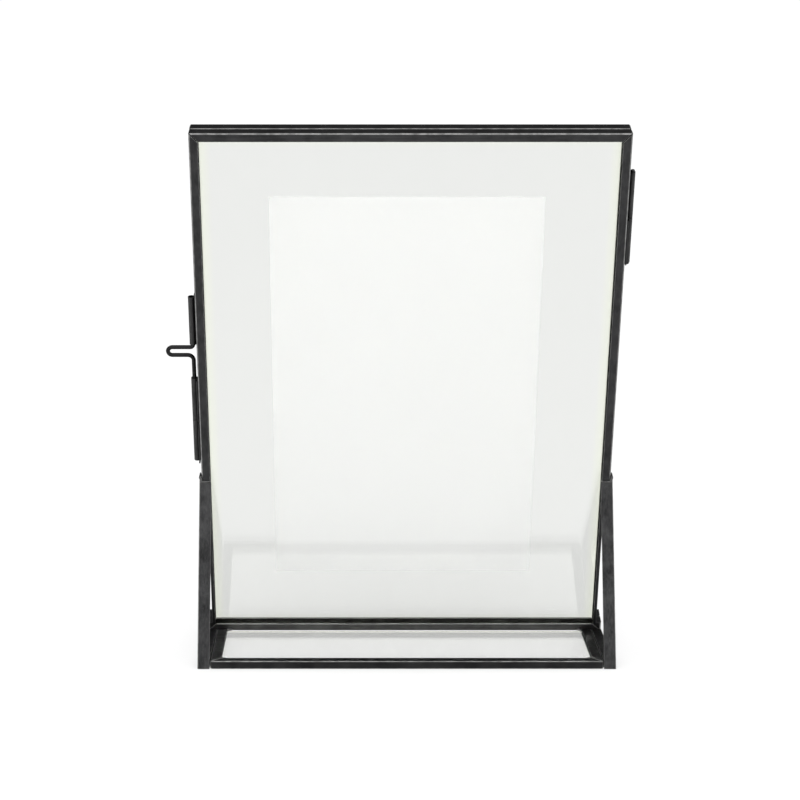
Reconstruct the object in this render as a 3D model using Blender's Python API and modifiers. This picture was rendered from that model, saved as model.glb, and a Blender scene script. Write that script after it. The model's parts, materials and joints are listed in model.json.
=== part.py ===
"""Double-glazed floating frame on a soldered metal stand.

A leaning panel of two glazed leaves holds a plain card between two panes of glass. The leaf on
the stand's side is fixed. The other leaf is a door, hinged on one side and locked on the other
by a sliding wire pin with a hairpin handle. Two angle legs and a shallow glazed base hold it up.

World frame: metres, +Z up, with the origin on the floor under the middle of the object's box.
The stand is on the -Y side. The stand's frame has X = 0 at the panel's middle and Y = 0 at the
base's front face. The panel's frame has X across, Y through the panel from its stand side, and
Z up the panel from its bottom edge.
"""
from math import atan2, cos, pi, radians, sin, sqrt, tan

import bmesh
import bpy
from mathutils import Matrix, Vector

# Overall sizes
PANEL_WIDTH = 0.160
PANEL_LENGTH = 0.213
LEAN = radians(16.6)
LEAF_DEPTH = 0.0048
LEAF_GAP = 0.0004
PANEL_FOOT_Y = 0.04335
PANEL_FOOT_Z = 0.0021

# Rims of the two leaves
RIM_FLANGE = 0.0033
RIM_FLANGE_THICKNESS = 0.0008
RIM_WEB = 0.00255
BOTTOM_RIM_WEB = 0.00085
RIM_BEND = 0.0008

# The side rims step in beside the legs
STEP_IN = 0.0021
STEP_LOW = 0.0040
STEP_BELOW_APEX = 0.0090

# Fits and edges
FIT_GAP = 0.0003
EDGE_BEVEL = 0.00012
PANE_BEVEL = 0.0002

# Glass and card
PANE_THICKNESS = 0.0020
FIXED_PANE_SETBACK = 0.0001
CARD_WIDTH = 0.1016
CARD_LENGTH = 0.1607
CARD_THICKNESS = 0.00045
CARD_GAP = 0.00035
CARD_OFFSET = -0.0009

# Legs
LEG_FLANGE = 0.0047
LEG_SIDE = 0.00465
LEG_SHEET = 0.0006
LEG_BEND = 0.0005
APEX_HEIGHT = 0.0689
LEG_LAP = 0.0038
LEG_ABOVE_APEX = 0.0020

# Base
BASE_HEIGHT = 0.0032
BASE_SHEET = 0.0005
BASE_BEND = 0.0005
BASE_FRONT_FLANGE = 0.0043
BASE_SIDE_FLANGE = 0.0039

# Hinge
HINGE_PIN_RADIUS = 0.0005
HINGE_BARREL_RADIUS = 0.00105
HINGE_FROM_TOP = 0.0164
HINGE_KNUCKLE = 0.0177
PIN_HEAD_RADIUS = 0.0008
PIN_HEAD_HEIGHT = 0.0005
BORE_CLEARANCE = 0.00008

# Latch
LATCH_WIRE_RADIUS = 0.0008
LATCH_BARREL_RADIUS = 0.0013
LATCH_FROM_TOP = 0.0663
LATCH_DOOR_KNUCKLE = 0.0197
LATCH_FIXED_KNUCKLE = 0.0177
LATCH_SPACE = 0.0143
LATCH_ENGAGEMENT = 0.0062
LATCH_REACH = 0.0121
LATCH_LOOP_PITCH = 0.0033
LATCH_UPPER_BEND = 0.0011
LATCH_LOWER_BEND = 0.0022
LATCH_LEG_SHORT = 0.0018

# Straps that hold the barrels to the leaves
STRAP_THICKNESS = 0.0005
STRAP_WIDTH = 0.0036
STRAP_START = 0.6
STRAP_END_INSET = 0.00005

# Places worked out from the sizes above
HALF_WIDTH = PANEL_WIDTH / 2
PANEL_DEPTH = 2 * LEAF_DEPTH + LEAF_GAP
PARTING = LEAF_DEPTH + LEAF_GAP / 2
DOOR_FRONT = LEAF_DEPTH + LEAF_GAP
LEG_OUTER = HALF_WIDTH + FIT_GAP + LEG_SHEET
LEG_INNER = LEG_OUTER - LEG_FLANGE
BASE_HALF = LEG_INNER - FIT_GAP
HINGE_X = HALF_WIDTH + FIT_GAP + HINGE_BARREL_RADIUS
LATCH_X = -(HALF_WIDTH + FIT_GAP + LATCH_BARREL_RADIUS)
APEX_Y = PANEL_FOOT_Y - (APEX_HEIGHT - PANEL_FOOT_Z) * tan(LEAN)
APEX_UP_PANEL = (APEX_HEIGHT - PANEL_FOOT_Z) / cos(LEAN)
LEG_SLOPE = atan2(APEX_Y, APEX_HEIGHT)
PANEL_BACK_Y = PANEL_FOOT_Y + PANEL_DEPTH * cos(LEAN)
PANEL_TOP_Y = PANEL_FOOT_Y - PANEL_LENGTH * sin(LEAN)
CENTRE_X = (HINGE_X + HINGE_BARREL_RADIUS - HALF_WIDTH - LATCH_REACH) / 2
CENTRE_Y = (PANEL_BACK_Y + PANEL_TOP_Y) / 2
BARREL_STEPS = 32
BEND_STEPS = 4
ALONG_X = Matrix(((0, 0, 1, 0), (1, 0, 0, 0), (0, 1, 0, 0), (0, 0, 0, 1)))

# Base colour, roughness and metallic value
FINISHES = {
    "rim": ((0.052, 0.052, 0.053), 0.42, 1.0),
    "stand": ((0.058, 0.058, 0.060), 0.45, 1.0),
    "barrel": ((0.046, 0.046, 0.047), 0.38, 1.0),
    "wire": ((0.030, 0.030, 0.031), 0.35, 1.0),
    "glass": ((0.90, 0.93, 0.90), 0.03, 0.0),
    "card": ((0.87, 0.87, 0.865), 0.85, 0.0),
}


# ------------------------------------------------------------------------- helpers


def clear_scene():
    for obj in list(bpy.data.objects):
        bpy.data.objects.remove(obj, do_unlink=True)


def new_collection(name):
    collection = bpy.data.collections.new(name)
    bpy.context.scene.collection.children.link(collection)
    return collection


def empty(name, parent=None, location=(0.0, 0.0, 0.0), rotation=(0.0, 0.0, 0.0)):
    obj = bpy.data.objects.new(name, None)
    obj.empty_display_size = 0.01
    PARTS.objects.link(obj)
    return place(obj, parent, location, rotation)


def place(obj, parent, location=(0.0, 0.0, 0.0), rotation=(0.0, 0.0, 0.0)):
    obj.parent = parent
    obj.location = location
    obj.rotation_euler = rotation
    return obj


def finish_part(obj, kind, smooth=False):
    """Give a part a material of its own, and smooth shading if it is round."""
    colour, roughness, metallic = FINISHES[kind]
    material = bpy.data.materials.new(obj.name + "_finish")
    material.use_nodes = True
    shader = material.node_tree.nodes["Principled BSDF"]
    shader.inputs["Base Color"].default_value = (*colour, 1.0)
    shader.inputs["Roughness"].default_value = roughness
    shader.inputs["Metallic"].default_value = metallic
    if kind == "glass":
        shader.inputs["Transmission Weight"].default_value = 1.0
    obj.data.materials.clear()
    obj.data.materials.append(material)
    if smooth:
        obj.data.shade_smooth()
        obj.data.set_sharp_from_angle(angle=radians(35))


def object_from_bmesh(name, bm, collection):
    mesh = bpy.data.meshes.new(name)
    bm.to_mesh(mesh)
    bm.free()
    obj = bpy.data.objects.new(name, mesh)
    collection.objects.link(obj)
    return obj


def box_object(name, low, high, collection):
    """A box between two corners, from the cube primitive."""
    size = Vector(high) - Vector(low)
    middle = (Vector(high) + Vector(low)) / 2
    bm = bmesh.new()
    bmesh.ops.create_cube(bm, size=1.0, matrix=Matrix.Translation(middle) @ Matrix.Diagonal((*size, 1.0)))
    return object_from_bmesh(name, bm, collection)


def tool_box(name, low, high, parent):
    """A box that only cuts other parts or is joined to them."""
    tool = box_object(name, low, high, TOOLS)
    tool.parent = parent
    tool.hide_render = True
    tool.display_type = "WIRE"
    return tool


def add_bevel(obj, width=EDGE_BEVEL):
    modifier = obj.modifiers.new("eased_edges", "BEVEL")
    modifier.width = width
    modifier.segments = 2
    modifier.limit_method = "ANGLE"
    modifier.angle_limit = radians(40)


def add_boolean(obj, operation, tool):
    modifier = obj.modifiers.new(tool.name, "BOOLEAN")
    modifier.operation = operation
    modifier.solver = "EXACT"
    modifier.object = tool


def arc(centre, radius, start, stop, steps):
    """Points on an arc in a plane, both ends included."""
    angles = [start + (stop - start) * step / steps for step in range(steps + 1)]
    return [(centre[0] + radius * cos(angle), centre[1] + radius * sin(angle)) for angle in angles]


def welded_bmesh(curve):
    """Turn curve data into one closed mesh and remove the curve."""
    obj = bpy.data.objects.new("curve", curve)
    TOOLS.objects.link(obj)
    evaluated = obj.evaluated_get(bpy.context.evaluated_depsgraph_get())
    mesh = bpy.data.meshes.new_from_object(evaluated)
    mesh.transform(obj.matrix_world)
    bpy.data.objects.remove(obj, do_unlink=True)
    bm = bmesh.new()
    bm.from_mesh(mesh)
    bpy.data.meshes.remove(mesh)
    bmesh.ops.remove_doubles(bm, verts=bm.verts, dist=1e-6)
    bmesh.ops.recalc_face_normals(bm, faces=bm.faces)
    return bm


def extruded(points, half_length):
    """A closed flat outline, extruded both ways along Z."""
    curve = bpy.data.curves.new("outline", "CURVE")
    curve.dimensions = "2D"
    curve.fill_mode = "BOTH"
    curve.extrude = half_length
    spline = curve.splines.new("POLY")
    spline.points.add(len(points) - 1)
    for knot, (u, v) in zip(spline.points, points):
        knot.co = (u, v, 0.0, 1.0)
    spline.use_cyclic_u = True
    bm = welded_bmesh(curve)
    bmesh.ops.dissolve_limit(bm, angle_limit=radians(1), verts=bm.verts, edges=bm.edges)
    return bm


def slice_off(bm, point, normal):
    """Cut a mesh by a plane, drop what is on the normal's side, and close the cut."""
    geometry = bm.verts[:] + bm.edges[:] + bm.faces[:]
    bmesh.ops.bisect_plane(bm, geom=geometry, dist=1e-7, plane_co=point, plane_no=normal, clear_outer=True)
    open_edges = [edge for edge in bm.edges if edge.is_boundary]
    bmesh.ops.holes_fill(bm, edges=open_edges, sides=0)
    bmesh.ops.recalc_face_normals(bm, faces=bm.faces)


def mitred_bar(name, section, half_length, mitres):
    """A bar along local X, outermost at Z = 0. mitres says which ends, -X and +X, are mitred."""
    bm = extruded(section, half_length)
    bm.transform(ALONG_X)
    for side, mitred in zip((-1, 1), mitres):
        if mitred:
            end = side * (half_length - FIT_GAP / sqrt(2))
            slice_off(bm, (end, 0.0, 0.0), (side, 0.0, -1.0))
    return object_from_bmesh(name, bm, PARTS)


def turned(name, profile):
    """A full turn about Z of a closed (radius, height) profile that runs down its outer side."""
    bm = bmesh.new()
    knots = [bm.verts.new((radius, 0.0, height)) for radius, height in profile]
    for start, end in zip(knots, knots[1:] + knots[:1]):
        if start.co.x > 0.0 or end.co.x > 0.0:
            bm.edges.new((start, end))
    obj = object_from_bmesh(name, bm, PARTS)
    screw = obj.modifiers.new("turn", "SCREW")
    screw.axis = "Z"
    screw.angle = 2 * pi
    screw.steps = BARREL_STEPS
    screw.render_steps = BARREL_STEPS
    screw.use_merge_vertices = True
    screw.merge_threshold = 1e-6
    return obj


# ------------------------------------------------------------------------- leaves


def rim_section(web):
    """A rebated rim in (Y, Z): a web at the outside and a wider flange on the stand's side."""
    bend = arc((RIM_BEND, -RIM_BEND), RIM_BEND, pi, pi / 2, BEND_STEPS)
    return [(0.0, -RIM_FLANGE)] + bend + [
        (LEAF_DEPTH, 0.0),
        (LEAF_DEPTH, -web),
        (RIM_FLANGE_THICKNESS, -web),
        (RIM_FLANGE_THICKNESS, -RIM_FLANGE),
    ]


def rim_places():
    """Name, half length, place in the panel's frame, turn about Y, web, and local X's way up."""
    half_length = PANEL_LENGTH / 2
    return (
        ("top", HALF_WIDTH, (0.0, 0.0, PANEL_LENGTH), 0.0, RIM_WEB, 0),
        ("bottom", HALF_WIDTH, (0.0, 0.0, 0.0), pi, BOTTOM_RIM_WEB, 0),
        ("right", half_length, (HALF_WIDTH, 0.0, half_length), pi / 2, RIM_WEB, -1),
        ("left", half_length, (-HALF_WIDTH, 0.0, half_length), -pi / 2, RIM_WEB, 1),
    )


def step_rim_in(rim, half_length, up):
    """Take the outer part of a side rim's web away beside the leg."""
    heights = (STEP_LOW, APEX_UP_PANEL - STEP_BELOW_APEX)
    low, high = sorted(up * (height - half_length) for height in heights)
    step = tool_box(
        rim.name + "_step",
        (low, -LEAF_DEPTH, -STEP_IN),
        (high, 2 * LEAF_DEPTH, STEP_IN),
        rim,
    )
    add_boolean(rim, "DIFFERENCE", step)


def make_leaf(leaf, parent, origin, front, pane_front):
    """Four mitred rims and a pane. origin is the parent's place in the panel's frame."""
    shift = Vector((0.0, front, 0.0)) - Vector(origin)
    for side, half_length, location, turn, web, up in rim_places():
        name = "%s_leaf_%s_rim" % (leaf, side)
        rim = mitred_bar(name, rim_section(web), half_length, (True, True))
        place(rim, parent, Vector(location) + shift, (0.0, turn, 0.0))
        add_bevel(rim)
        if up:
            step_rim_in(rim, half_length, up)
        finish_part(rim, "rim", smooth=True)
    half = HALF_WIDTH - RIM_WEB - FIT_GAP
    top = PANEL_LENGTH - RIM_WEB - FIT_GAP
    pane = box_object(
        "%s_leaf_pane" % leaf,
        (-half, pane_front, BOTTOM_RIM_WEB + FIT_GAP),
        (half, pane_front + PANE_THICKNESS, top),
        PARTS,
    )
    place(pane, parent, -Vector(origin))
    add_bevel(pane, PANE_BEVEL)
    finish_part(pane, "glass")


def make_card(parent, front):
    low = (PANEL_LENGTH - CARD_LENGTH) / 2
    card = box_object(
        "insert_card",
        (CARD_OFFSET - CARD_WIDTH / 2, front, low),
        (CARD_OFFSET + CARD_WIDTH / 2, front + CARD_THICKNESS, low + CARD_LENGTH),
        PARTS,
    )
    place(card, parent)
    finish_part(card, "card")


# ------------------------------------------------------------------------- stand


def make_panel_room(panel):
    """The space that the legs and foot rails leave free for the panel."""
    side = HALF_WIDTH + FIT_GAP
    return tool_box(
        "panel_room",
        (-side, -FIT_GAP, -FIT_GAP),
        (side, 2 * PANEL_DEPTH, PANEL_LENGTH),
        panel,
    )


def make_leg(name, side, stand, room):
    """An angle whose front flange faces -Y and whose side flange laps the panel's edge."""
    bend = arc((LEG_OUTER - LEG_BEND, LEG_BEND), LEG_BEND, -pi / 2, 0.0, BEND_STEPS)
    section = [(LEG_INNER, 0.0)] + bend + [
        (LEG_OUTER, LEG_SIDE),
        (LEG_OUTER - LEG_SHEET, LEG_SIDE),
        (LEG_OUTER - LEG_SHEET, LEG_SHEET),
        (LEG_INNER, LEG_SHEET),
    ]
    apex = Vector((0.0, 0.0, APEX_HEIGHT / cos(LEG_SLOPE)))
    turn = LEAN + LEG_SLOPE
    through_panel = Vector((0.0, cos(turn), sin(turn)))
    up_panel = Vector((0.0, -sin(turn), cos(turn)))
    bm = extruded([(side * x, y) for x, y in section], 2 * apex.z)
    slice_off(bm, (0.0, 0.0, 0.0), (0.0, sin(LEG_SLOPE), -cos(LEG_SLOPE)))
    slice_off(bm, apex + LEG_LAP * through_panel, through_panel)
    slice_off(bm, apex + LEG_ABOVE_APEX * up_panel, up_panel)
    leg = object_from_bmesh(name, bm, PARTS)
    place(leg, stand, rotation=(-LEG_SLOPE, 0.0, 0.0))
    add_bevel(leg)
    add_boolean(leg, "DIFFERENCE", room)
    finish_part(leg, "stand", smooth=True)


def make_foot_rail(name, side, stand, room):
    """A bar on the floor from a leg to the panel's bottom corner, notched for the panel."""
    start = LEG_SHEET / cos(LEG_SLOPE) + BASE_HEIGHT * tan(LEG_SLOPE) + FIT_GAP
    low, high = sorted((side * LEG_INNER, side * HALF_WIDTH))
    rail = box_object(name, (low, start, 0.0), (high, PANEL_BACK_Y - FIT_GAP, BASE_HEIGHT), PARTS)
    place(rail, stand)
    add_bevel(rail)
    add_boolean(rail, "DIFFERENCE", room)
    finish_part(rail, "stand")


def channel_section(flange):
    """A channel in (Y, Z) as deep as the base is high, open towards -Z."""
    low_bend = arc((BASE_BEND, -BASE_BEND), BASE_BEND, pi, pi / 2, BEND_STEPS)
    high_bend = arc((BASE_HEIGHT - BASE_BEND, -BASE_BEND), BASE_BEND, pi / 2, 0.0, BEND_STEPS)
    return [(0.0, -flange)] + low_bend + high_bend + [
        (BASE_HEIGHT, -flange),
        (BASE_HEIGHT - BASE_SHEET, -flange),
        (BASE_HEIGHT - BASE_SHEET, -BASE_SHEET),
        (BASE_SHEET, -BASE_SHEET),
        (BASE_SHEET, -flange),
    ]


def make_base(stand):
    """Three channels around a pane that slides in from the back and stops at the panel."""
    back = PANEL_FOOT_Y - (BASE_HEIGHT - PANEL_FOOT_Z) * tan(LEAN) - FIT_GAP / cos(LEAN)
    front = mitred_bar("base_front_channel", channel_section(BASE_FRONT_FLANGE), BASE_HALF, (True, True))
    place(front, stand, rotation=(pi / 2, 0.0, 0.0))
    half = back / 2
    turns = {
        1: Matrix(((0, 0, 1), (1, 0, 0), (0, 1, 0))),
        -1: Matrix(((0, 0, -1), (-1, 0, 0), (0, 1, 0))),
    }
    channels = [front]
    for side, sign in (("right", 1), ("left", -1)):
        name = "base_%s_channel" % side
        bar = mitred_bar(name, channel_section(BASE_SIDE_FLANGE), half, (sign > 0, sign < 0))
        place(bar, stand, (sign * BASE_HALF, half, 0.0), turns[sign].to_euler())
        channels.append(bar)
    for bar in channels:
        add_bevel(bar)
        finish_part(bar, "stand", smooth=True)
    inset = BASE_SHEET + FIT_GAP
    pane = box_object(
        "base_pane",
        (inset - BASE_HALF, inset, inset),
        (BASE_HALF - inset, back, BASE_HEIGHT - inset),
        PARTS,
    )
    place(pane, stand)
    add_bevel(pane, PANE_BEVEL)
    finish_part(pane, "glass")


# ------------------------------------------------------------------------- hinge and latch


def make_knuckle(name, parent, location, length, radius, pin_radius, to_panel, to_leaf):
    """A barrel along Z with a strap that lies on the outer wall of its own leaf.

    to_panel is the sign of X from the barrel to the panel, and to_leaf is the sign of Y from the
    barrel to the leaf that it is fixed to.
    """
    bore = pin_radius + BORE_CLEARANCE
    barrel = turned(name, [(radius, length), (radius, 0.0), (bore, 0.0), (bore, length)])
    place(barrel, parent, location)
    low_x, high_x = sorted((to_panel * radius, to_panel * (radius - STRAP_THICKNESS)))
    low_y, high_y = sorted((to_leaf * STRAP_START * bore, to_leaf * STRAP_WIDTH))
    strap = tool_box(
        name + "_strap",
        (low_x, low_y, STRAP_END_INSET),
        (high_x, high_y, length - STRAP_END_INSET),
        barrel,
    )
    add_boolean(barrel, "UNION", strap)
    finish_part(barrel, "barrel", smooth=True)


def make_hinge_pin(parent, location, length):
    """A pin with a small peened head at each end."""
    low_head = [
        (PIN_HEAD_RADIUS, 0.0),
        (PIN_HEAD_RADIUS, -PIN_HEAD_HEIGHT / 2),
        (PIN_HEAD_RADIUS - PIN_HEAD_HEIGHT / 2, -PIN_HEAD_HEIGHT),
        (0.0, -PIN_HEAD_HEIGHT),
    ]
    high_head = [(radius, length - height) for radius, height in reversed(low_head)]
    stem = [(HINGE_PIN_RADIUS, length), (HINGE_PIN_RADIUS, 0.0)]
    pin = turned("hinge_pin", high_head + stem + low_head)
    place(pin, parent, location)
    finish_part(pin, "barrel", smooth=True)


def make_hinge(panel, door_axis):
    """The upper knuckle is on the door and the lower one on the fixed leaf."""
    door_low = PANEL_LENGTH - HINGE_FROM_TOP - HINGE_KNUCKLE
    fixed_low = door_low - FIT_GAP - HINGE_KNUCKLE
    sizes = (HINGE_KNUCKLE, HINGE_BARREL_RADIUS, HINGE_PIN_RADIUS)
    make_knuckle("hinge_door_knuckle", door_axis, (0.0, 0.0, door_low), *sizes, -1, 1)
    make_knuckle("hinge_fixed_knuckle", panel, (HINGE_X, PARTING, fixed_low), *sizes, -1, -1)
    length = 2 * HINGE_KNUCKLE + 3 * FIT_GAP
    make_hinge_pin(panel, (HINGE_X, PARTING, fixed_low - FIT_GAP), length)


def latch_heights():
    """Lower ends of the three knuckles, then the two runs of the hairpin, up the panel."""
    door_low = PANEL_LENGTH - LATCH_FROM_TOP - LATCH_DOOR_KNUCKLE
    middle_low = door_low - LATCH_SPACE - LATCH_FIXED_KNUCKLE
    lower_low = middle_low - FIT_GAP - LATCH_FIXED_KNUCKLE
    upper_run = door_low - FIT_GAP - LATCH_UPPER_BEND
    return door_low, middle_low, lower_low, upper_run, upper_run - LATCH_LOOP_PITCH


def latch_path():
    """The wire's centre line from its upper tip to its lower tip, from the lower run's height."""
    door_low, _, lower_low, upper_run, lower_run = latch_heights()
    loop = LATCH_LOOP_PITCH / 2
    loop_x = LATCH_WIRE_RADIUS + loop - LATCH_REACH - HALF_WIDTH - LATCH_X
    path = [(0.0, door_low + LATCH_ENGAGEMENT)]
    path += arc((-LATCH_UPPER_BEND, upper_run + LATCH_UPPER_BEND), LATCH_UPPER_BEND, 0.0, -pi / 2, 5)
    path += arc((loop_x, lower_run + loop), loop, pi / 2, 3 * pi / 2, 12)
    path += arc((-LATCH_LOWER_BEND, lower_run - LATCH_LOWER_BEND), LATCH_LOWER_BEND, pi / 2, 0.0, 6)
    path += [(0.0, lower_low + LATCH_LEG_SHORT)]
    return [(x, z - lower_run) for x, z in path]


def make_latch(panel, door_axis):
    """One knuckle on the door, two on the fixed leaf, and the wire that locks them."""
    door_low, middle_low, lower_low, _, lower_run = latch_heights()
    sizes = (LATCH_BARREL_RADIUS, LATCH_WIRE_RADIUS)
    door_place = (LATCH_X - HINGE_X, 0.0, door_low)
    make_knuckle("latch_door_knuckle", door_axis, door_place, LATCH_DOOR_KNUCKLE, *sizes, 1, 1)
    for name, low in (("latch_middle_knuckle", middle_low), ("latch_lower_knuckle", lower_low)):
        make_knuckle(name, panel, (LATCH_X, PARTING, low), LATCH_FIXED_KNUCKLE, *sizes, 1, -1)
    curve = bpy.data.curves.new("latch_pin", "CURVE")
    curve.dimensions = "3D"
    curve.bevel_depth = LATCH_WIRE_RADIUS
    curve.bevel_resolution = 3
    curve.use_fill_caps = True
    points = latch_path()
    spline = curve.splines.new("POLY")
    spline.points.add(len(points) - 1)
    for knot, (x, z) in zip(spline.points, points):
        knot.co = (x, 0.0, z, 1.0)
    wire = object_from_bmesh("latch_pin", welded_bmesh(curve), PARTS)
    place(wire, panel, (LATCH_X, PARTING, lower_run))
    finish_part(wire, "wire", smooth=True)


# ------------------------------------------------------------------------- assembly


clear_scene()
PARTS = new_collection("floating_frame")
TOOLS = new_collection("cutters")

stand_frame = empty("stand_frame", location=(-CENTRE_X, -CENTRE_Y, 0.0))
panel_frame = empty("panel_frame", stand_frame, (0.0, PANEL_FOOT_Y, PANEL_FOOT_Z), (LEAN, 0.0, 0.0))
hinge_line = (HINGE_X, PARTING, 0.0)
door_hinge_axis = empty("door_hinge_axis", panel_frame, hinge_line)

fixed_pane_back = LEAF_DEPTH - FIXED_PANE_SETBACK
door_pane_front = DOOR_FRONT + RIM_FLANGE_THICKNESS + FIT_GAP
make_leaf("fixed", panel_frame, (0.0, 0.0, 0.0), 0.0, fixed_pane_back - PANE_THICKNESS)
make_leaf("door", door_hinge_axis, hinge_line, DOOR_FRONT, door_pane_front)
make_card(panel_frame, fixed_pane_back + CARD_GAP)

panel_room = make_panel_room(panel_frame)
for side_name, side_sign in (("left", -1), ("right", 1)):
    make_leg(side_name + "_leg", side_sign, stand_frame, panel_room)
    make_foot_rail(side_name + "_foot_rail", side_sign, stand_frame, panel_room)
make_base(stand_frame)

make_hinge(panel_frame, door_hinge_axis)
make_latch(panel_frame, door_hinge_axis)

bpy.context.view_layer.update()
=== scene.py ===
"""Looks for the double-glazed floating frame: patinated metal, glass, card and a plain studio."""

import json
from math import cos, radians, sin

import bmesh
import bpy
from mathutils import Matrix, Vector, noise


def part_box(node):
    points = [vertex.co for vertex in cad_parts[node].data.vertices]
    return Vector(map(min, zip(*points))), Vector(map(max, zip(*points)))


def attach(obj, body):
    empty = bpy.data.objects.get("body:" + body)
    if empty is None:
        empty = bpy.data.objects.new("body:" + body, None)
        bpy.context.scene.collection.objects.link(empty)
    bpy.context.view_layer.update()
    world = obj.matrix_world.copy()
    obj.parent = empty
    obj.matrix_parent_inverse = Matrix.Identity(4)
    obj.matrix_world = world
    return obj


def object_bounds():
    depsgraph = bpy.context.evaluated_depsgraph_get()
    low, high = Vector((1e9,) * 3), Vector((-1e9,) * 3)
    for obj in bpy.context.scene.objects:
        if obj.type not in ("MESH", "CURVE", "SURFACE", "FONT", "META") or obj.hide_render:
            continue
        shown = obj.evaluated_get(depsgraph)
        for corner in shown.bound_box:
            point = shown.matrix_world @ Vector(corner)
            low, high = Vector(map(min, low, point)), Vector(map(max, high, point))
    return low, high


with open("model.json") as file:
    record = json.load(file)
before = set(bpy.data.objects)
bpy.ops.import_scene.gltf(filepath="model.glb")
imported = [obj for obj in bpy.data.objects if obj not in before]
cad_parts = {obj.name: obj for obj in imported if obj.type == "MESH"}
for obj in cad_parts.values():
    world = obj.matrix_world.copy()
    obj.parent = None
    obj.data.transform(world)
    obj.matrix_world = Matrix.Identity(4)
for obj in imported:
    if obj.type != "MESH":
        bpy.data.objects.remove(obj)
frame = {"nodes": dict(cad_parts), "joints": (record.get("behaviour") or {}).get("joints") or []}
cad_low, cad_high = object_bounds()

# Camera: from the stand's side, a little above the panel's top, looking slightly down
CAMERA_PLACE = (-0.01515, -0.76772, 0.244)
CAMERA_PITCH = radians(10.45)
CAMERA_LENS = 91.125
CAMERA_SENSOR = 36.0
CAMERA_SHIFT = 0.05625

# How far the legs lean back, in degrees, and how far in from an edge the metal is rubbed bright, which also
# stands as a painted highlight
LEG_SLOPE = 18.8
EDGE_REACH = 0.00045

# How far in from its edges a pane carries a painted reflection of its green cut edge, and that reflection's
# colour
EDGE_REFLECTION_REACH = 0.0045
EDGE_REFLECTION_TINT = (1.02, 1.03, 0.97)

# Solder: how far a leg laps over the panel's side and rises above its apex. Then the beads' radii,
# how far an apex bead stands proud, how long a corner's two arms are, and how finely a bead is cut
LEG_LAP = 0.0038
LEG_ABOVE_APEX = 0.0020
APEX_BEAD = 0.00058
APEX_PROUD = 0.0003
CORNER_BEAD = 0.00058
CORNER_RUN = 0.0024
BEAD_SIDES = 12
BEAD_STEPS = 34

# Metal tones: the patina's dark and light, and bare metal where it is rubbed, set bright enough to be a
# painted highlight along the edges
DARK = (0.024, 0.024, 0.0245)
LIGHT = (0.052, 0.052, 0.053)
WORN_AND_HIGHLIT = (0.36, 0.36, 0.355)
LEG_LIGHT = (0.074, 0.074, 0.075)
# The bottom rims' tones are a lighter copy of the patina: painted sheen of the bright floor below them
BOTTOM_SHEEN_DARK, BOTTOM_SHEEN_LIGHT = (0.045, 0.045, 0.045), (0.095, 0.095, 0.094)
# The base's front channel tones are a darker copy of the patina: painted shade on a face that sees the bright
# floor
FRONT_SHADE_DARK, FRONT_SHADE_LIGHT = (0.014, 0.014, 0.015), (0.030, 0.030, 0.030)
BARREL_DARK, BARREL_LIGHT = (0.022, 0.022, 0.023), (0.05, 0.05, 0.05)
WIRE_DARK, WIRE_LIGHT, WIRE_WORN_AND_HIGHLIT = (0.012, 0.012, 0.013), (0.03, 0.03, 0.03), (0.09, 0.09, 0.09)
SOLDER_DARK, SOLDER_LIGHT, SOLDER_WORN_AND_HIGHLIT = (0.045, 0.045, 0.045), (0.12, 0.12, 0.118), (0.3, 0.3, 0.295)

# Glass seen through its faces, and at its cut edges
PANEL_CLEAR = (0.895, 0.90, 0.89)
BASE_CLEAR = (0.985, 0.988, 0.98)
CUT_EDGE = (0.62, 0.72, 0.44)

# Noise is drawn out along the bars by this share of its size across them
DRAWN_OUT = 0.04

# Studio: the floor's brightness is mostly its own glow, which keeps the ground white under the frame
FLOOR_HALF = 60.0
FLOOR_DROP = 0.0002
FLOOR_ALBEDO = 0.25
FLOOR_GLOW = 0.59
SKY_FRONT = 2.3
SKY_BACK = 1.02
SHEEN_FRONT = 1.0
SHEEN_BACK = 0.45

# Nodes by finish
RIMS = ["%s_leaf_%s_rim" % (leaf, side) for leaf in ("fixed", "door")
        for side in ("top", "bottom", "left", "right")]
LEGS = ["left_leg", "right_leg"]
RAILS = ["left_foot_rail", "right_foot_rail"]
CHANNELS = ["base_front_channel", "base_left_channel", "base_right_channel"]
BARRELS = ["hinge_door_knuckle", "hinge_fixed_knuckle", "hinge_pin", "latch_door_knuckle",
           "latch_middle_knuckle", "latch_lower_knuckle"]


# ------------------------------------------------------------------------- node helpers


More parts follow.
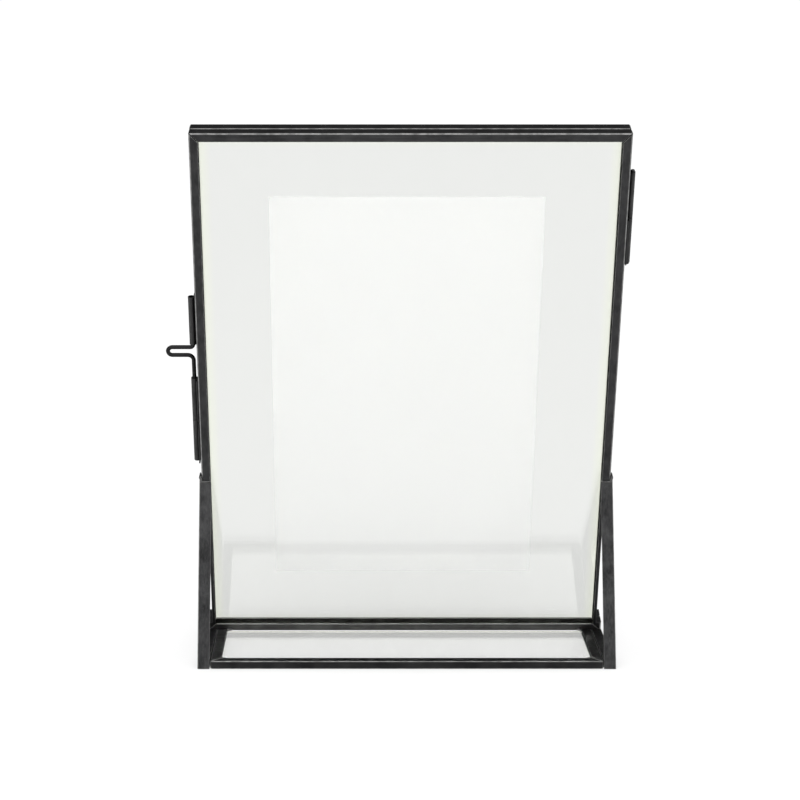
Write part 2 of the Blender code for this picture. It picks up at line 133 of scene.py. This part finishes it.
class Tree:
    """A short way to add and join shader nodes."""

    def __init__(self, name):
        self.material = bpy.data.materials.new(name)
        self.material.use_nodes = True
        self.tree = self.material.node_tree
        self.shader = self.tree.nodes["Principled BSDF"]

    def add(self, kind, **settings):
        node = self.tree.nodes.new(kind)
        for name, value in settings.items():
            setattr(node, name, value)
        return node

    def join(self, start, end):
        self.tree.links.new(start, end)

    def places(self, stretch=(1.0, 1.0, 1.0)):
        coordinates = self.add("ShaderNodeTexCoord")
        mapping = self.add("ShaderNodeMapping")
        mapping.inputs["Scale"].default_value = stretch
        self.join(coordinates.outputs["Object"], mapping.inputs["Vector"])
        return mapping.outputs["Vector"]

    def noise(self, scale, detail=4.0, stretch=(1.0, 1.0, 1.0), roughness=0.55):
        node = self.add("ShaderNodeTexNoise")
        node.inputs["Scale"].default_value = scale
        node.inputs["Detail"].default_value = detail
        node.inputs["Roughness"].default_value = roughness
        self.join(self.places(stretch), node.inputs["Vector"])
        return node.outputs["Fac"]

    def remap(self, value, low, high, new_low, new_high):
        node = self.add("ShaderNodeMapRange")
        for name, number in zip(("From Min", "From Max", "To Min", "To Max"), (low, high, new_low, new_high)):
            node.inputs[name].default_value = number
        self.join(value, node.inputs["Value"])
        return node.outputs["Result"]

    def maths(self, operation, first, second):
        node = self.add("ShaderNodeMath", operation=operation, use_clamp=True)
        for socket, value in zip(node.inputs, (first, second)):
            if isinstance(value, (int, float)):
                socket.default_value = value
            else:
                self.join(value, socket)
        return node.outputs["Value"]

    def blend(self, amount, first, second):
        node = self.add("ShaderNodeMix", data_type="RGBA")
        self.join(amount, node.inputs["Factor"])
        for socket, value in zip((node.inputs[6], node.inputs[7]), (first, second)):
            if isinstance(value, tuple):
                socket.default_value = (*value, 1.0)
            else:
                self.join(value, socket)
        return node.outputs[2]

    def bump(self, height, strength, distance, normal=None):
        node = self.add("ShaderNodeBump")
        node.inputs["Strength"].default_value = strength
        node.inputs["Distance"].default_value = distance
        self.join(height, node.inputs["Height"])
        if normal is not None:
            self.join(normal, node.inputs["Normal"])
        return node.outputs["Normal"]


# ------------------------------------------------------------------------- materials


def rounded_normal(tree, radius):
    """The surface's direction, smoothed over its edges and facets."""
    rounded = tree.add("ShaderNodeBevel", samples=4)
    rounded.inputs["Radius"].default_value = radius
    return rounded.outputs["Normal"]


# Marks every bend and eased edge for the rubbed colour, which is real wear and also a painted highlight on
# those edges
def worn_and_highlit_edges(tree, axes):
    """1 on bends and eased edges, 0 on faces that look along one of the bar's own three axes."""
    coordinates = tree.add("ShaderNodeTexCoord")
    nearest = 0.0
    for axis in axes:
        dot = tree.add("ShaderNodeVectorMath", operation="DOT_PRODUCT")
        dot.inputs[1].default_value = axis
        tree.join(coordinates.outputs["Normal"], dot.inputs[0])
        size = tree.add("ShaderNodeMath", operation="ABSOLUTE")
        tree.join(dot.outputs["Value"], size.inputs[0])
        nearest = tree.maths("MAXIMUM", size.outputs["Value"], nearest)
    bends = tree.remap(nearest, 0.985, 0.86, 0.0, 1.0)
    geometry = tree.add("ShaderNodeNewGeometry")
    turn = tree.add("ShaderNodeVectorMath", operation="DOT_PRODUCT")
    tree.join(rounded_normal(tree, EDGE_REACH), turn.inputs[0])
    tree.join(geometry.outputs["Normal"], turn.inputs[1])
    rims = tree.remap(turn.outputs["Value"], 0.99, 0.86, 0.0, 0.2)
    return tree.maths("MAXIMUM", bends, rims)


def patinated_metal(name, dark, light, worn_and_highlit, rough, stretch, axes, wear_and_highlight_amount=0.8):
    """Black patina over steel: cloudy tone, fine specks, drawn lines along the bar, and rubbed edges that
    double as painted highlights.
    """
    tree = Tree(name)
    clouds = tree.remap(tree.noise(140.0, 5.0), 0.36, 0.68, 0.0, 1.0)
    specks = tree.remap(tree.noise(2600.0, 2.0), 0.55, 0.75, 0.0, 0.35)
    drawn = tree.remap(tree.noise(1500.0, 3.0, stretch), 0.35, 0.7, 0.0, 0.45)
    tone = tree.maths("ADD", tree.maths("MULTIPLY", clouds, 0.65), tree.maths("ADD", specks, drawn))
    patchy = tree.remap(tree.noise(420.0, 4.0), 0.35, 0.62, 0.45, 1.0)
    # Bare metal on the edges: real rubbing, and also a painted highlight along them
    wear_and_highlight = tree.maths("MULTIPLY", tree.maths("MULTIPLY", worn_and_highlit_edges(tree, axes), patchy), wear_and_highlight_amount)
    colour = tree.blend(wear_and_highlight, tree.blend(tone, dark, light), worn_and_highlit)
    tree.join(colour, tree.shader.inputs["Base Color"])
    roughness = tree.remap(tree.noise(380.0, 4.0), 0.3, 0.7, rough - 0.07, rough + 0.09)
    tree.join(roughness, tree.shader.inputs["Roughness"])
    grain = tree.bump(drawn, 0.10, 0.00004, rounded_normal(tree, 0.00025))
    waves = tree.bump(tree.noise(230.0, 2.0), 0.12, 0.00025, grain)
    tree.join(waves, tree.shader.inputs["Normal"])
    tree.shader.inputs["Metallic"].default_value = 1.0
    tree.shader.inputs["Specular Tint"].default_value = (0.45, 0.45, 0.45, 1.0)
    return tree.material


def near_ends(tree, axis, low, high):
    """1 at the two ends of a pane along an axis, fading to 0 over EDGE_REFLECTION_REACH."""
    coordinates = tree.add("ShaderNodeTexCoord")
    along = tree.add("ShaderNodeVectorMath", operation="DOT_PRODUCT")
    along.inputs[1].default_value = axis
    tree.join(coordinates.outputs["Object"], along.inputs[0])
    first = tree.remap(along.outputs["Value"], low, low + EDGE_REFLECTION_REACH, 1.0, 0.0)
    last = tree.remap(along.outputs["Value"], high - EDGE_REFLECTION_REACH, high, 0.0, 1.0)
    return tree.maths("MAXIMUM", first, last)


def window_glass(name, clear, edge, through, spans):
    """Clear float glass. Its cut edges are yellow-green, and a painted reflection of them lies on the glass
    beside them.
    """
    tree = Tree(name)
    geometry = tree.add("ShaderNodeTexCoord")
    dot = tree.add("ShaderNodeVectorMath", operation="DOT_PRODUCT")
    dot.inputs[1].default_value = through
    tree.join(geometry.outputs["Normal"], dot.inputs[0])
    size = tree.add("ShaderNodeMath", operation="ABSOLUTE")
    tree.join(dot.outputs["Value"], size.inputs[0])
    is_edge = tree.remap(size.outputs["Value"], 0.95, 0.6, 0.0, 1.0)
    haze = tree.remap(tree.noise(9.0, 3.0), 0.3, 0.7, 0.0, 0.25)
    faintly_grey = tuple(0.985 * value for value in clear)
    border = 0.0
    for axis, low, high in spans:
        border = tree.maths("MAXIMUM", near_ends(tree, axis, low, high), border)
    # A band of painted reflection of the green cut edge, just inside each edge of the pane
    edge_reflection = tuple(value * tint for value, tint in zip(clear, EDGE_REFLECTION_TINT))
    body = tree.blend(border, tree.blend(haze, clear, faintly_grey), edge_reflection)
    tree.join(tree.blend(is_edge, body, edge), tree.shader.inputs["Base Color"])
    smears = tree.remap(tree.noise(55.0, 4.0), 0.5, 0.85, 0.0, 0.012)
    tree.join(smears, tree.shader.inputs["Roughness"])
    tree.shader.inputs["Transmission Weight"].default_value = 1.0
    tree.shader.inputs["IOR"].default_value = 1.5
    return tree.material


def paper(name):
    """Smooth white card with faint fibres."""
    tree = Tree(name)
    fibres = tree.noise(900.0, 5.0, (1.0, 1.0, 0.35), 0.7)
    cloud = tree.noise(45.0, 3.0)
    amount = tree.maths("ADD", tree.maths("MULTIPLY", fibres, 0.5), tree.maths("MULTIPLY", cloud, 0.4))
    tree.join(tree.blend(amount, (0.97, 0.97, 0.967), (0.95, 0.95, 0.948)), tree.shader.inputs["Base Color"])
    tree.join(tree.remap(fibres, 0.3, 0.7, 0.72, 0.9), tree.shader.inputs["Roughness"])
    tree.join(tree.bump(fibres, 0.15, 0.00005), tree.shader.inputs["Normal"])
    return tree.material


def give(material, names):
    for name in names:
        slots = frame["nodes"][name].material_slots
        for slot in slots:
            slot.material = material


def panel_axes():
    """Up the panel and through it, from the latch's axis in the record."""
    slide = next(joint for joint in frame["joints"] if joint["name"] == "latch_slide")
    up = -Vector(slide["axis"]).normalized()
    through = Vector((1.0, 0.0, 0.0)).cross(up).normalized()
    return up, -through


def dress():
    up, through = panel_axes()
    side = Vector((1.0, 0.0, 0.0))
    slope = radians(LEG_SLOPE)
    panel = (side, through, up)
    square = (side, Vector((0.0, 1.0, 0.0)), Vector((0.0, 0.0, 1.0)))
    leg = (side, Vector((0.0, cos(slope), -sin(slope))), Vector((0.0, sin(slope), cos(slope))))
    along_x, along_y, along_z = (DRAWN_OUT, 1.0, 1.0), (1.0, DRAWN_OUT, 1.0), (1.0, 1.0, DRAWN_OUT)
    tops = [name for name in RIMS if "top" in name]
    bottoms = [name for name in RIMS if "bottom" in name]
    upright = [name for name in RIMS if name not in tops + bottoms]
    finishes = [
        ("rim_patina_top", (DARK, LIGHT, WORN_AND_HIGHLIT, 0.40, along_x, panel), tops),
        # Lighter copy of the rim patina on the bottom rims: painted sheen
        ("rim_patina_bottom_painted_sheen", (BOTTOM_SHEEN_DARK, BOTTOM_SHEEN_LIGHT, WORN_AND_HIGHLIT, 0.42, along_x, panel), bottoms),
        ("rim_patina_upright", (DARK, LIGHT, WORN_AND_HIGHLIT, 0.40, along_z, panel), upright),
        ("leg_patina", (DARK, LEG_LIGHT, WORN_AND_HIGHLIT, 0.42, along_z, leg), LEGS),
        ("rail_patina", (DARK, LIGHT, WORN_AND_HIGHLIT, 0.42, along_y, square), RAILS),
        # Darker copy of the patina on the front channel: painted shade
        ("base_front_patina_painted_shade", (FRONT_SHADE_DARK, FRONT_SHADE_LIGHT, WORN_AND_HIGHLIT, 0.42, along_x, square), CHANNELS[:1]),
        ("base_side_patina", (DARK, LIGHT, WORN_AND_HIGHLIT, 0.42, along_y, square), CHANNELS[1:]),
        ("barrel_patina", (BARREL_DARK, BARREL_LIGHT, WORN_AND_HIGHLIT, 0.36, along_z, panel, 0.12), BARRELS),
        ("wire_patina", (WIRE_DARK, WIRE_LIGHT, WIRE_WORN_AND_HIGHLIT, 0.33, along_x, panel, 0.1), ["latch_pin"]),
    ]
    for name, settings, nodes in finishes:
        give(patinated_metal(name, *settings), nodes)
    for leaf in ("fixed", "door"):
        pane = "%s_leaf_pane" % leaf
        low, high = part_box(pane)
        bottom, top = Vector((0.0, high[1], low[2])), Vector((0.0, low[1], high[2]))
        spans = [(side, low[0], high[0]), (up, bottom.dot(up), top.dot(up))]
        give(window_glass("%s_glass" % leaf, PANEL_CLEAR, CUT_EDGE, through, spans), [pane])
    low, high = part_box("base_pane")
    spans = [(side, low[0], high[0]), (square[1], low[1], high[1])]
    give(window_glass("base_glass", BASE_CLEAR, CUT_EDGE, square[2], spans), ["base_pane"])
    give(paper("white_card"), ["insert_card"])


# ------------------------------------------------------------------------- solder


def along_path(points, share):
    """A place on the straight-sided path, by its share of the whole length."""
    lengths = [(b - a).length for a, b in zip(points, points[1:])]
    left = share * sum(lengths)
    for start, end, length in zip(points, points[1:], lengths):
        if left <= length:
            return start.lerp(end, left / length)
        left -= length
    return points[-1].copy()


def solder_bead(name, points, radius):
    """A lumpy run of solder along a path, thin at both ends."""
    bm = bmesh.new()
    rings = []
    across = (points[1] - points[0]).orthogonal()
    for step in range(BEAD_STEPS + 1):
        share = step / BEAD_STEPS
        centre = along_path(points, share)
        ahead = along_path(points, min(1.0, share + 0.06)) - along_path(points, max(0.0, share - 0.06))
        ahead.normalize()
        across = (across - across.dot(ahead) * ahead).normalized()
        beside = ahead.cross(across)
        taper = max(0.12, sin(radians(180.0 * share)) ** 0.45)
        ring = []
        for side in range(BEAD_SIDES):
            angle = radians(360.0 * side / BEAD_SIDES)
            outward = cos(angle) * across + sin(angle) * beside
            lump = 1.0 + 0.5 * noise.noise((centre + 0.6 * radius * outward) * 1300.0)
            ring.append(bm.verts.new(centre + radius * taper * lump * outward))
        rings.append(ring)
    for first, second in zip(rings, rings[1:]):
        for side in range(BEAD_SIDES):
            after = (side + 1) % BEAD_SIDES
            bm.faces.new((first[side], first[after], second[after], second[side]))
    bm.faces.new(list(reversed(rings[0])))
    bm.faces.new(rings[-1])
    bmesh.ops.recalc_face_normals(bm, faces=bm.faces)
    mesh = bpy.data.meshes.new(name)
    bm.to_mesh(mesh)
    bm.free()
    mesh.shade_smooth()
    bead = bpy.data.objects.new(name, mesh)
    bpy.context.scene.collection.objects.link(bead)
    smoother = bead.modifiers.new("smoother", "SUBSURF")
    smoother.levels = smoother.render_levels = 1
    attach(bead, "stand")
    return bead


def solder_apex(name, side, up, through):
    """Solder over a leg's top: across its front, then back along the flange that laps the panel."""
    rim_low, rim_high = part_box("fixed_leaf_%s_rim" % name)
    leg_low, leg_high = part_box("%s_leg" % name)
    depth_y, depth_z = rim_high[1] - rim_low[1], rim_high[2] - rim_low[2]
    lean_cos, lean_sin = up.z, -up.y
    rim_depth = (depth_y * lean_cos - depth_z * lean_sin) / (lean_cos ** 2 - lean_sin ** 2)
    front = Vector((0.0, rim_low[1], rim_high[2] - rim_depth * lean_sin)).dot(through)
    top = (leg_high[2] - (front + LEG_LAP) * through.z) / up.z
    apex = top - LEG_ABOVE_APEX
    inner, outer = (leg_high[0], leg_low[0]) if side < 0 else (leg_low[0], leg_high[0])

    def place(x, into, height):
        return Vector((x, 0.0, 0.0)) + (front + into) * through + height * up

    inset = side * APEX_BEAD
    path = [place(inner, -APEX_PROUD, apex), place(outer - 1.5 * inset, -APEX_PROUD, apex),
            place(outer - 0.7 * inset, 0.0, top), place(outer - 0.7 * inset, LEG_LAP - APEX_BEAD, top)]
    return solder_bead("solder_%s_apex" % name, path, APEX_BEAD)


def solder_base_corners():
    """Short fillets where the side channels meet the front channel and the panel's foot."""
    front_inner_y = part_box("base_front_channel")[1][1]
    beads = []
    for name, side in (("left", -1.0), ("right", 1.0)):
        low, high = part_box("base_%s_channel" % name)
        inner = high[0] if side < 0 else low[0]
        height = high[2] - 0.5 * CORNER_BEAD
        for end, y, inwards in (("front", front_inner_y, 1.0), ("back", high[1], -1.0)):
            corner = Vector((inner, y, height))
            path = [corner - Vector((side * CORNER_RUN, 0.0, 0.0)), corner,
                    corner + Vector((0.0, inwards * CORNER_RUN, 0.0))]
            beads.append(solder_bead("solder_%s_%s" % (name, end), path, CORNER_BEAD))
    return beads


def solder_joints():
    up, through = panel_axes()
    beads = [solder_apex("left", -1.0, up, through), solder_apex("right", 1.0, up, through)]
    beads += solder_base_corners()
    axes = (Vector((1.0, 0.0, 0.0)), Vector((0.0, 1.0, 0.0)), Vector((0.0, 0.0, 1.0)))
    even = (1.0, 1.0, 1.0)
    finish = patinated_metal("solder_patina", SOLDER_DARK, SOLDER_LIGHT, SOLDER_WORN_AND_HIGHLIT, 0.38, even, axes, 0.25)
    for bead in beads:
        bead.data.materials.append(finish)


# ------------------------------------------------------------------------- studio


def make_floor():
    bm = bmesh.new()
    bmesh.ops.create_grid(bm, x_segments=8, y_segments=8, size=FLOOR_HALF)
    mesh = bpy.data.meshes.new("floor")
    bm.to_mesh(mesh)
    bm.free()
    floor = bpy.data.objects.new("floor", mesh)
    floor.location = (0.0, 0.0, -FLOOR_DROP)
    bpy.context.scene.collection.objects.link(floor)
    tree = Tree("studio_floor")
    tree.shader.inputs["Base Color"].default_value = (FLOOR_ALBEDO, FLOOR_ALBEDO, FLOOR_ALBEDO, 1.0)
    tree.shader.inputs["Roughness"].default_value = 0.9
    tree.shader.inputs["Specular IOR Level"].default_value = 0.0
    tree.shader.inputs["Emission Color"].default_value = (1.0, 1.0, 1.0, 1.0)
    tree.shader.inputs["Emission Strength"].default_value = FLOOR_GLOW
    mesh.materials.append(tree.material)


def make_sky():
    """A soft dome, brighter on the stand's side. What reflects in the metal is dimmer than what lights it."""
    world = bpy.data.worlds.new("studio")
    world.use_nodes = True
    bpy.context.scene.world = world
    nodes, links = world.node_tree.nodes, world.node_tree.links
    coordinates = nodes.new("ShaderNodeTexCoord")
    split = nodes.new("ShaderNodeSeparateXYZ")
    links.new(coordinates.outputs["Generated"], split.inputs["Vector"])

    def from_front_to_back(front, back):
        ramp = nodes.new("ShaderNodeMapRange")
        ramp.interpolation_type = "SMOOTHSTEP"
        for name, number in (("From Min", -0.3), ("From Max", 0.6), ("To Min", front), ("To Max", back)):
            ramp.inputs[name].default_value = number
        links.new(split.outputs["Y"], ramp.inputs["Value"])
        return ramp.outputs["Result"]

    path = nodes.new("ShaderNodeLightPath")
    mirrored = nodes.new("ShaderNodeMath")
    mirrored.operation = "SUBTRACT"
    mirrored.use_clamp = True
    links.new(path.outputs["Is Glossy Ray"], mirrored.inputs[0])
    links.new(path.outputs["Is Transmission Ray"], mirrored.inputs[1])
    choice = nodes.new("ShaderNodeMix")
    links.new(mirrored.outputs["Value"], choice.inputs["Factor"])
    links.new(from_front_to_back(SKY_FRONT, SKY_BACK), choice.inputs["A"])
    links.new(from_front_to_back(SHEEN_FRONT, SHEEN_BACK), choice.inputs["B"])
    links.new(choice.outputs["Result"], nodes["Background"].inputs["Strength"])
    nodes["Background"].inputs["Color"].default_value = (1.0, 1.0, 1.0, 1.0)


def add_softbox(name, place, target, width, height, power, mirrored=True):
    light = bpy.data.lights.new(name, "AREA")
    light.shape = "RECTANGLE"
    light.size = width
    light.size_y = height
    light.energy = power
    obj = bpy.data.objects.new(name, light)
    obj.location = place
    obj.visible_glossy = mirrored
    obj.rotation_euler = (Vector(target) - Vector(place)).to_track_quat("-Z", "Y").to_euler()
    bpy.context.scene.collection.objects.link(obj)
    return obj


def make_camera():
    data = bpy.data.cameras.new("camera")
    data.lens = CAMERA_LENS
    data.sensor_width = CAMERA_SENSOR
    data.shift_x = CAMERA_SHIFT
    data.clip_end = 100.0
    camera = bpy.data.objects.new("camera", data)
    camera.location = CAMERA_PLACE
    camera.rotation_euler = (radians(90.0) - CAMERA_PITCH, 0.0, 0.0)
    bpy.context.scene.collection.objects.link(camera)
    bpy.context.scene.camera = camera


def make_studio():
    make_floor()
    make_sky()
    middle = (cad_low + cad_high) / 2
    add_softbox("key", (-0.2, -1.0, 1.45), middle, 1.6, 0.9, 5.0)
    add_softbox("fill", (0.0, -1.5, 0.10), middle, 1.8, 0.6, 20.5, mirrored=False)
    # Seen through the panes, the light behind reaches the card only if they receive it too
    back_fill = add_softbox("back_fill", (0.0, 1.1, 1.3), middle, 1.4, 0.7, 26.0, mirrored=False)
    receivers = bpy.data.collections.new("lit_by_back_fill")
    for name in ("insert_card", "fixed_leaf_pane", "door_leaf_pane"):
        receivers.objects.link(frame["nodes"][name])
    back_fill.light_linking.receiver_collection = receivers
    bpy.context.scene.view_settings.view_transform = "Standard"


dress()
solder_joints()
make_studio()
make_camera()
